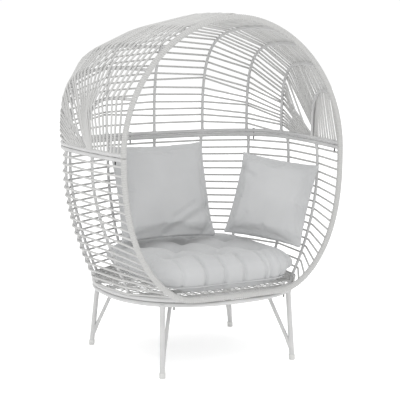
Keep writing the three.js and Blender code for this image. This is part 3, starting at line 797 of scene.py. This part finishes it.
def make_seat_lattice():
    """A plain weave of thin strands over the base ring."""
    inset = 0.008
    skin = Skin()
    half_width = RING_HALF_WIDTH - inset
    half_depth = RING_HALF_DEPTH - inset
    columns = int(half_width / LATTICE_PITCH - 0.5)
    rows = int(half_depth / LATTICE_PITCH - 0.5)
    wave = LATTICE_RADIUS * 1.02
    steps_per_pitch = 4

    def strand(half, place_at, sign):
        count = max(8, int(2 * half / LATTICE_PITCH * steps_per_pitch))
        path = []
        for i in range(count + 1):
            along = -half + 2 * half * i / count
            height = LATTICE_Z + sign * wave * math.cos(along / LATTICE_PITCH * math.pi)
            path.append(place_at(along, height))
        skin.tube(path, LATTICE_RADIUS, sides=6, tone=0.5 + jitter(len(skin.tone), 0.8))

    for i in range(-rows, rows + 1):
        depth = RING_MIDDLE + i * LATTICE_PITCH
        half = ring_half_width_at(depth, inset)
        strand(half, lambda along, z, depth=depth: at(along, depth, z), (-1) ** i)
    for i in range(-columns, columns + 1):
        x = i * LATTICE_PITCH
        half = ring_half_depth_at(x, inset)
        strand(half, lambda along, z, x=x: at(x, RING_MIDDLE + along, z), -((-1) ** i))
    skin.build("seat_lattice", wicker, ["seat_weave"])


# ---------- the base ----------


def make_base_ring():
    samples = 140
    turns = [-BASE_RING_END + 2 * BASE_RING_END * i / samples for i in range(samples + 1)]
    line = Rail([ring_point(turn, BASE_RING_Z) for turn in turns])
    skin = Skin()
    skin.tube(line.spread(150), BASE_RING_RADIUS, sides=20)
    skin.build("base_ring_tube", paint, ["base_ring"])


def make_leg_ring():
    samples = 240
    turns = [FULL_TURN * i / samples for i in range(samples + 1)]
    line = Rail([ring_point(turn, LEG_RING_Z) for turn in turns])
    skin = Skin()
    skin.tube(line.spread(161)[:-1], LEG_RING_RADIUS, sides=20, closed=True)
    skin.build("leg_ring_tube", paint, ["leg_ring"])


def make_bar(name, replaced, left, right, radius, inset):
    path = weld_spaced(Rail([left, right]), 6)
    skin = Skin()
    skin.tube(path, flared(path, radius, inset, inset), sides=16)
    skin.build(name, paint, [replaced])


def make_seat_bars():
    for i, depth in enumerate(SEAT_BAR_DEPTHS):
        half = ring_half_width_at(depth)
        ends = [at(side * half, depth, BASE_RING_Z) for side in (-1, 1)]
        make_bar(f"seat_bar_{i + 1}_tube", f"seat_bar_{i + 1}", *ends, SEAT_BAR_RADIUS, BASE_RING_RADIUS)


def inwards(foot, lean, z):
    x, depth, _ = foot
    return at(x * (1 - lean), depth + (RING_MIDDLE - depth) * lean, z)


def leg_axis(foot):
    """The leg's middle line, as a function of height."""
    x, depth, lean = foot
    bottom = at(x, depth, 0)
    top = inwards(foot, lean, LEG_RING_Z)
    top[0] = math.copysign(ring_half_width_at(top[1] - SHIFT_Y), x)
    slope = (top - bottom) / LEG_RING_Z
    return lambda z: bottom + slope * z


def make_legs():
    cross_depths = {}
    for name, foot in FEET.items():
        on_leg = leg_axis(foot)
        end = name.split("_")[0]
        line = Rail([on_leg(LEG_FOOT_Z), on_leg(LEG_RING_Z)])
        path = weld_spaced(line, 10)
        skin = Skin()
        skin.tube(path, flared(path, LEG_RADIUS, -0.05, LEG_RING_RADIUS), sides=28)
        skin.build(f"leg_{name}_tube", paint, [f"leg_{name}"])
        brace_top = inwards(foot, BRACE_LEAN, LEG_RING_Z)
        cross_depths[end] = brace_top[1] - SHIFT_Y
        path = weld_spaced(Rail([on_leg(BRACE_FOOT_Z), brace_top]), 8)
        skin = Skin()
        skin.tube(path, flared(path, BRACE_RADIUS, 0.035, CROSS_TUBE_RADIUS), sides=20)
        skin.build(f"leg_brace_{name}_tube", paint, [f"leg_brace_{name}"])
        make_foot_cap(name, on_leg)
    for end, depth in cross_depths.items():
        half = ring_half_width_at(depth)
        ends = [at(side * half, depth, LEG_RING_Z) for side in (-1, 1)]
        make_bar(f"leg_cross_{end}_tube", f"leg_cross_tube_{end}", *ends, CROSS_TUBE_RADIUS, LEG_RING_RADIUS)


def make_foot_cap(name, on_leg):
    """A moulded cap: rounded sole, two grip rings and a rolled lip."""
    rim = CAP_RADIUS
    profile = [
        (rim * 0.30, 0.0006),
        (rim * 0.72, 0.0002),
        (rim * 0.88, 0.0006),
        (rim * 0.98, 0.0026),
        (rim, 0.0050),
        (rim, 0.0072),
        (rim * 0.95, 0.0078),
        (rim * 0.95, 0.0086),
        (rim, 0.0092),
        (rim, 0.0128),
        (rim * 0.95, 0.0134),
        (rim * 0.95, 0.0142),
        (rim, 0.0148),
        (rim, CAP_HEIGHT - 0.0022),
        (rim * 0.97, CAP_HEIGHT - 0.0006),
        (rim * 0.90, CAP_HEIGHT),
        (LEG_RADIUS * 1.01, CAP_HEIGHT - 0.0006),
        (LEG_RADIUS * 0.96, CAP_HEIGHT - 0.004),
    ]
    skin = Skin()
    skin.lathe(profile, on_leg, sides=32)
    skin.build(f"foot_cap_{name}_moulded", plastic, [f"foot_cap_{name}"], smooth_angle=40)


# ---------- bolts ----------


def make_bolt(node):
    """A dark bolt whose threaded end shows below, and a pale snap cap over its head."""
    low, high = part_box(node)
    centre = (low + high) / 2
    head = (high.x - low.x) / 2
    shank = head / 2
    thread_pitch = 0.001
    thread_top = low.z + 0.016
    profile = [(shank * 0.55, low.z), (shank * 0.8, low.z + 0.0006)]
    z = low.z + 0.001
    while z < thread_top:
        profile += [(shank * 0.84, z), (shank, z + thread_pitch / 2)]
        z += thread_pitch
    crown = high.z
    profile += [(shank, z), (shank, crown - 0.0032)]

    def on_axis(height):
        return np.array((centre.x, centre.y, height))

    skin = Skin()
    skin.lathe(profile, on_axis, sides=18)
    skin.build(f"{node}_threaded", zinc, [node], smooth_angle=35)
    cap_profile = [
        (head * 0.90, crown - 0.0035),
        (head * 0.98, crown - 0.0033),
        (head, crown - 0.0027),
        (head * 0.93, crown - 0.0016),
        (head * 0.74, crown - 0.0005),
        (head * 0.40, crown),
        (head * 0.05, crown),
    ]
    skin = Skin()
    skin.lathe(cap_profile, on_axis, sides=24)
    skin.build(f"{node}_cap", paint, smooth_angle=35)


# ---------- cushions ----------


def soft_copy(node, name, shrink, voxel):
    """A finer copy of a CAD cushion, a little smaller all round, ready to swell."""
    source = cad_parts[node].data
    mesh = source.copy()
    mesh.name = name
    piece = bpy.data.objects.new(name, mesh)
    bpy.context.scene.collection.objects.link(piece)
    shape = bmesh.new()
    shape.from_mesh(mesh)
    bmesh.ops.remove_doubles(shape, verts=shape.verts, dist=1e-5)
    bmesh.ops.recalc_face_normals(shape, faces=shape.faces)
    moved = [vertex.co - vertex.normal * shrink for vertex in shape.verts]
    for vertex, place in zip(shape.verts, moved):
        vertex.co = place
    shape.to_mesh(mesh)
    shape.free()
    remesh = piece.modifiers.new("remesh", "REMESH")
    remesh.mode = "VOXEL"
    remesh.voxel_size = voxel
    apply_all(piece)
    smooth(piece, 0.5, 2)
    return piece


def subdivide(piece, levels):
    made = piece.modifiers.new("subdivide", "SUBSURF")
    made.levels = levels
    made.render_levels = levels
    apply_all(piece)


def apply_all(piece):
    graph = bpy.context.evaluated_depsgraph_get()
    graph.update()
    mesh = bpy.data.meshes.new_from_object(piece.evaluated_get(graph))
    piece.modifiers.clear()
    piece.data = mesh


def places_of(piece):
    co = np.zeros(len(piece.data.vertices) * 3)
    piece.data.vertices.foreach_get("co", co)
    return co.reshape(-1, 3)


def normals_of(piece):
    normals = np.zeros(len(piece.data.vertices) * 3)
    piece.data.vertices.foreach_get("normal", normals)
    return normals.reshape(-1, 3)


def put(piece, places):
    piece.data.vertices.foreach_set("co", places.ravel())
    piece.data.update()


MOST_SUNK = 0.0015


def inflate(piece, pressure, cap, held=None, frames=20):
    """Runs a short cloth simulation. Each point stays within cap of where it began, and hardly sinks."""
    began = places_of(piece)
    outwards = normals_of(piece)
    cloth = piece.modifiers.new("cloth", "CLOTH")
    settings = cloth.settings
    settings.quality = 4
    settings.mass = 0.3
    settings.tension_stiffness = 12
    settings.compression_stiffness = 12
    settings.shear_stiffness = 4
    settings.bending_stiffness = 0.4
    settings.use_pressure = True
    settings.uniform_pressure_force = pressure
    settings.effector_weights.gravity = 0
    cloth.collision_settings.use_collision = False
    if held is not None:
        group = piece.vertex_groups.new(name="held")
        for index, weight in enumerate(held):
            if weight > 0.01:
                group.add([index], float(weight), "REPLACE")
        settings.vertex_group_mass = "held"
    for step in range(1, frames + 1):
        bpy.context.scene.frame_set(step)
    apply_all(piece)
    bpy.context.scene.frame_set(1)
    moves = places_of(piece) - began
    sunk = np.minimum(0, (moves * outwards).sum(axis=1) + MOST_SUNK)
    moves -= outwards * sunk[:, None]
    reach = np.linalg.norm(moves, axis=1)
    share = np.minimum(1, cap / np.maximum(reach, 1e-9))
    put(piece, began + moves * share[:, None])


def smooth(piece, factor, repeats):
    made = piece.modifiers.new("smooth", "SMOOTH")
    made.factor = factor
    made.iterations = repeats
    apply_all(piece)


def cushion_ready(piece, node):
    piece.data.materials.clear()
    piece.data.materials.append(fabric)
    piece.data.polygons.foreach_set("use_smooth", [True] * len(piece.data.polygons))
    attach(piece, node)
    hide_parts(node)


# Seat cushion: buttons on its top, and pleats down its side wall
BUTTONS = (
    (-0.205, -0.205), (0.0, -0.215), (0.205, -0.205),
    (-0.105, -0.060), (0.105, -0.060),
    (-0.215, 0.075), (0.0, 0.085), (0.215, 0.075),
    (-0.105, 0.205), (0.105, 0.205),
)
VOXEL = 0.0075
PILLOW_VOXEL = 0.0062
SOFT_SHRINK = 0.004
SOFT_CAP = 0.010
SOFT_PRESSURE = 4.0
BUTTON_DEPTH = 0.030
BUTTON_SPREAD = 0.036
CHANNEL_DEPTH = 0.010
CHANNEL_SPREAD = 0.020
PLEATS = 26
PLEAT_DEPTH = 0.0085
FRONT_PLEATS = (-0.335, -0.240, -0.135, -0.045, 0.050, 0.148, 0.188, 0.228, 0.285, 0.335)
FRONT_PLEAT_DEPTH = 0.0095


def distance_to_segment(points, first, last):
    along = last - first
    share = np.clip(((points - first) @ along) / (along @ along), 0, 1)
    return np.linalg.norm(points - first - share[:, None] * along, axis=1)


def button_channels():
    """Pairs of neighbouring buttons, which a soft valley joins."""
    places = np.array(BUTTONS)
    pairs = []
    for i in range(len(places)):
        for k in range(i + 1, len(places)):
            if np.linalg.norm(places[i] - places[k]) < 0.19:
                pairs.append((places[i], places[k]))
    return pairs


def tufting(places, low, high):
    """How far each point is drawn down by the buttons and the valleys between them."""
    flat = places[:, :2]
    drawn = np.zeros(len(places))
    for button in np.array(BUTTONS):
        away = np.linalg.norm(flat - button, axis=1)
        drawn += BUTTON_DEPTH * np.exp(-((away / BUTTON_SPREAD) ** 2))
    valley = np.zeros(len(places))
    for first, last in button_channels():
        away = distance_to_segment(flat, first, last)
        valley = np.maximum(valley, np.exp(-((away / CHANNEL_SPREAD) ** 2)))
    on_top = np.clip((places[:, 2] - (low.z + (high.z - low.z) * 0.62)) / 0.03, 0, 1)
    return (drawn + CHANNEL_DEPTH * valley) * on_top


def pleat_pull(places, low, high):
    """How far each point of the side wall is drawn in by the pleats, which run on over the edge."""
    middle = (low + high) / 2
    across = (places[:, 0] - middle.x) / ((high.x - low.x) / 2)
    back = (places[:, 1] - middle.y) / ((high.y - low.y) / 2)
    out = np.maximum(np.abs(across), np.abs(back))
    angle = np.arctan2(back, across)
    height = (places[:, 2] - low.z) / (high.z - low.z)
    in_front = np.clip((-back - 0.62) / 0.16, 0, 1)
    pull = np.zeros(len(places))
    for i in range(PLEATS):
        centre = (i + 0.5 + jitter(i + 11, 0.35)) / PLEATS * FULL_TURN - math.pi
        bow = jitter(i + 3, 0.10) * np.sin(height * math.pi)
        gap = np.abs((angle - centre - bow + math.pi) % FULL_TURN - math.pi)
        width = 0.020 + jitter(i + 7, 0.008)
        reach = 0.60 + jitter(i + 5, 0.25)
        fade = np.clip((out - (1 - reach * 0.5)) / 0.16, 0, 1)
        depth = PLEAT_DEPTH * (0.8 + jitter(i + 21, 0.5))
        pull += depth * np.exp(-((gap / width) ** 2)) * fade * (1 - in_front)
    for i, x in enumerate(FRONT_PLEATS):
        bow = (0.012 + jitter(i + 31, 0.02)) * np.sin(height * math.pi)
        gap = np.abs(places[:, 0] - x - bow)
        width = 0.0085 + jitter(i + 37, 0.003)
        depth = FRONT_PLEAT_DEPTH * (0.9 + jitter(i + 41, 0.5))
        pull += depth * np.exp(-((gap / width) ** 2)) * in_front
    return pull * np.clip((height - 0.03) / 0.12, 0, 1)


def make_seat_cushion():
    node = "seat_cushion"
    low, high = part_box(node)
    piece = soft_copy(node, "seat_cushion_tufted", SOFT_SHRINK, VOXEL)
    places = places_of(piece)
    places[:, 2] -= tufting(places, low, high) * 0.9
    put(piece, places)
    flat = places_of(piece)[:, :2]
    held = np.zeros(len(flat))
    for button in np.array(BUTTONS):
        away = np.linalg.norm(flat - button, axis=1)
        held = np.maximum(held, np.exp(-((away / 0.012) ** 2)))
    on_floor = places_of(piece)[:, 2] < low.z + 0.02
    inflate(piece, SOFT_PRESSURE, SOFT_CAP, held=np.where(on_floor, 1, held))
    subdivide(piece, 1)
    places = places_of(piece)
    normals = normals_of(piece)
    pull = pleat_pull(places, low, high)
    places -= normals * pull[:, None]
    places = np.clip(places, np.array(low) - 0.002, np.array(high) + 0.006)
    put(piece, places)
    smooth(piece, 0.4, 1)
    cushion_ready(piece, node)
    make_buttons(piece, node)
    make_piping(piece, node, low, high)


def make_buttons(cushion, body):
    """Fabric-covered buttons sunk in the tufts."""
    skin = Skin()
    places = places_of(cushion)
    upper = places[places[:, 2] > places[:, 2].mean()]
    for button in np.array(BUTTONS):
        away = np.linalg.norm(upper[:, :2] - button, axis=1)
        z = upper[away < 0.012, 2].mean() + 0.001
        profile = [(0.002, -0.004), (0.009, -0.0035), (0.0115, -0.001), (0.0115, 0.0005)]
        profile += [(0.0100, 0.0024), (0.0070, 0.0038), (0.0030, 0.0045), (0.0006, 0.0046)]
        skin.lathe(profile, lambda height, b=button, z=z: np.array((b[0], b[1], z + height)), sides=20)
    skin.build("seat_cushion_buttons", fabric, body=body, smooth_angle=60)


def section_outline(piece, z, count):
    """The cushion's outline at one height, read off its own points."""
    places = places_of(piece)
    near = places[np.abs(places[:, 2] - z) < 0.006]
    centre = np.array((0.0, (near[:, 1].min() + near[:, 1].max()) / 2))
    offsets = near[:, :2] - centre
    angles = np.arctan2(offsets[:, 1], offsets[:, 0])
    reach = np.linalg.norm(offsets, axis=1)
    outline = []
    for i in range(count):
        angle = i / count * FULL_TURN - math.pi
        gap = np.abs((angles - angle + math.pi) % FULL_TURN - math.pi)
        radius = reach[gap < 1.4 * FULL_TURN / count].max()
        outline.append((centre[0] + math.cos(angle) * radius, centre[1] + math.sin(angle) * radius, z))
    return np.array(outline)


def make_piping(cushion, body, low, high):
    """A corded seam round the bottom of the side wall."""
    outline = section_outline(cushion, low.z + 0.030, 180)
    for _ in range(2):
        outline = (np.roll(outline, 1, axis=0) + outline + np.roll(outline, -1, axis=0)) / 3
    skin = Skin()
    skin.tube(outline, 0.0028, sides=8, closed=True)
    skin.build("seat_cushion_piping", fabric, body=body)


def pillow_axes(node):
    """The pillow's middle, and its own directions across, up and out, read off the CAD solid."""
    places = np.array([vertex.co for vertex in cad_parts[node].data.vertices])
    middle = (places.min(axis=0) + places.max(axis=0)) / 2
    centred = places - places.mean(axis=0)
    _, vectors = np.linalg.eigh(centred.T @ centred)
    out = vectors[:, 0]
    if out[1] > 0:
        out = -out
    up = unit(np.array((0, 0, 1)) - out * out[2])
    across = np.cross(up, out)
    return middle, across, up, out


SEAM_WIDTH = 0.003
SEAM_DEPTH = 0.0025


def make_pillow(node, folds):
    """A loose pillow with a seam round its rim and folds of its own, each a start, end, depth and width."""
    piece = soft_copy(node, f"{node}_pillow", SOFT_SHRINK, PILLOW_VOXEL)
    middle, across, up, out = pillow_axes(node)
    inflate(piece, SOFT_PRESSURE, SOFT_CAP)
    subdivide(piece, 1)
    places = places_of(piece)
    normals = normals_of(piece)
    flat = np.column_stack(((places - middle) @ across, (places - middle) @ up))
    facing = np.clip((normals @ out) * 2, 0, 1)
    for first, last, depth, width in folds:
        away = distance_to_segment(flat, np.array(first), np.array(last))
        places -= normals * (depth * np.exp(-((away / width) ** 2)) * facing)[:, None]
    thick = (places - middle) @ out
    rim = np.exp(-((thick / SEAM_WIDTH) ** 2)) * np.clip(1 - 2 * np.abs(normals @ out), 0, 1)
    places -= normals * (SEAM_DEPTH * rim)[:, None]
    put(piece, places)
    smooth(piece, 0.5, 1)
    cushion_ready(piece, node)


LEFT_FOLDS = (
    ((-0.02, -0.20), (0.20, -0.09), 0.012, 0.022),
    ((0.02, -0.13), (0.12, -0.075), 0.006, 0.016),
    ((0.16, -0.21), (0.225, -0.12), 0.008, 0.014),
)
RIGHT_FOLDS = (
    ((-0.17, 0.15), (-0.08, 0.09), 0.006, 0.014),
    ((0.12, -0.02), (0.17, -0.06), 0.005, 0.012),
    ((-0.16, -0.16), (-0.10, -0.08), 0.006, 0.014),
)

# ---------- camera, light and floor ----------

CAMERA_PLACE = (-2.611, -4.642, 1.541)
CAMERA_YAW = 0.484
CAMERA_PITCH = 0.150
CAMERA_LENS = 117.0
KEY_LIGHT_PLACE = (-2.2, -3.4, 3.6)
KEY_LIGHT_SIZE = 3.2
KEY_LIGHT_POWER = 48
TOP_LIGHT_PLACE = (0.4, 0.5, 4.2)
TOP_LIGHT_SIZE = 3.6
TOP_LIGHT_POWER = 26
WORLD_STRENGTH = 1.02
FLOOR_SIZE = 30.0


def make_camera():
    data = bpy.data.cameras.new("camera")
    data.lens = CAMERA_LENS
    data.sensor_width = 36.0
    camera = bpy.data.objects.new("camera", data)
    bpy.context.scene.collection.objects.link(camera)
    x, depth, z = CAMERA_PLACE
    camera.location = at(x, depth, z)
    camera.rotation_euler = (QUARTER - CAMERA_PITCH, 0, -CAMERA_YAW)
    bpy.context.scene.camera = camera


def make_area_light(name, place, aim, size, power):
    data = bpy.data.lights.new(name, "AREA")
    data.shape = "DISK"
    data.size = size
    data.energy = power
    light = bpy.data.objects.new(name, data)
    bpy.context.scene.collection.objects.link(light)
    light.location = place
    light.rotation_euler = (Vector(aim) - Vector(place)).to_track_quat("-Z", "Y").to_euler()


def make_studio():
    world = bpy.data.worlds.new("studio")
    world.use_nodes = True
    world.node_tree.nodes["Background"].inputs["Color"].default_value = (1.0, 1.0, 1.0, 1)
    world.node_tree.nodes["Background"].inputs["Strength"].default_value = WORLD_STRENGTH
    bpy.context.scene.world = world
    bpy.context.scene.view_settings.view_transform = "Standard"
    bpy.context.scene.view_settings.look = "None"
    middle = (0, 0, 0.7)
    make_area_light("key", KEY_LIGHT_PLACE, middle, KEY_LIGHT_SIZE, KEY_LIGHT_POWER)
    make_area_light("top", TOP_LIGHT_PLACE, middle, TOP_LIGHT_SIZE, TOP_LIGHT_POWER)
    shape = bmesh.new()
    bmesh.ops.create_grid(shape, x_segments=8, y_segments=8, size=FLOOR_SIZE / 2)
    mesh = bpy.data.meshes.new("floor")
    shape.to_mesh(mesh)
    shape.free()
    mesh.materials.append(floor_finish())
    floor = bpy.data.objects.new("floor", mesh)
    bpy.context.scene.collection.objects.link(floor)


make_camera()
make_studio()

make_hoop("upper_hoop", HOOP_START, math.pi - HOOP_START)
make_hoop("lower_hoop", -HOOP_START, -math.pi + HOOP_START)
make_rail("upper_rail", SPLIT_Z + RAIL_OFFSET)
make_rail("lower_rail", SPLIT_Z - RAIL_OFFSET)
make_ribs("upper_rib", upper_rib, [row[0] for row in UPPER_RIBS[:-1]], RAIL_RADIUS, HOOP_RADIUS)
make_ribs("lower_rib", lower_rib, LOWER_RIBS, RAIL_RADIUS, BASE_RING_RADIUS)
make_upper_weave()
make_lower_weave()
make_base_ring()
make_seat_lattice()
make_seat_bars()
make_leg_ring()
make_legs()
for node_name in sorted(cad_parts):
    if "_bolt_" in node_name:
        make_bolt(node_name)
make_seat_cushion()
make_pillow("back_cushion_left", LEFT_FOLDS)
make_pillow("back_cushion_right", RIGHT_FOLDS)
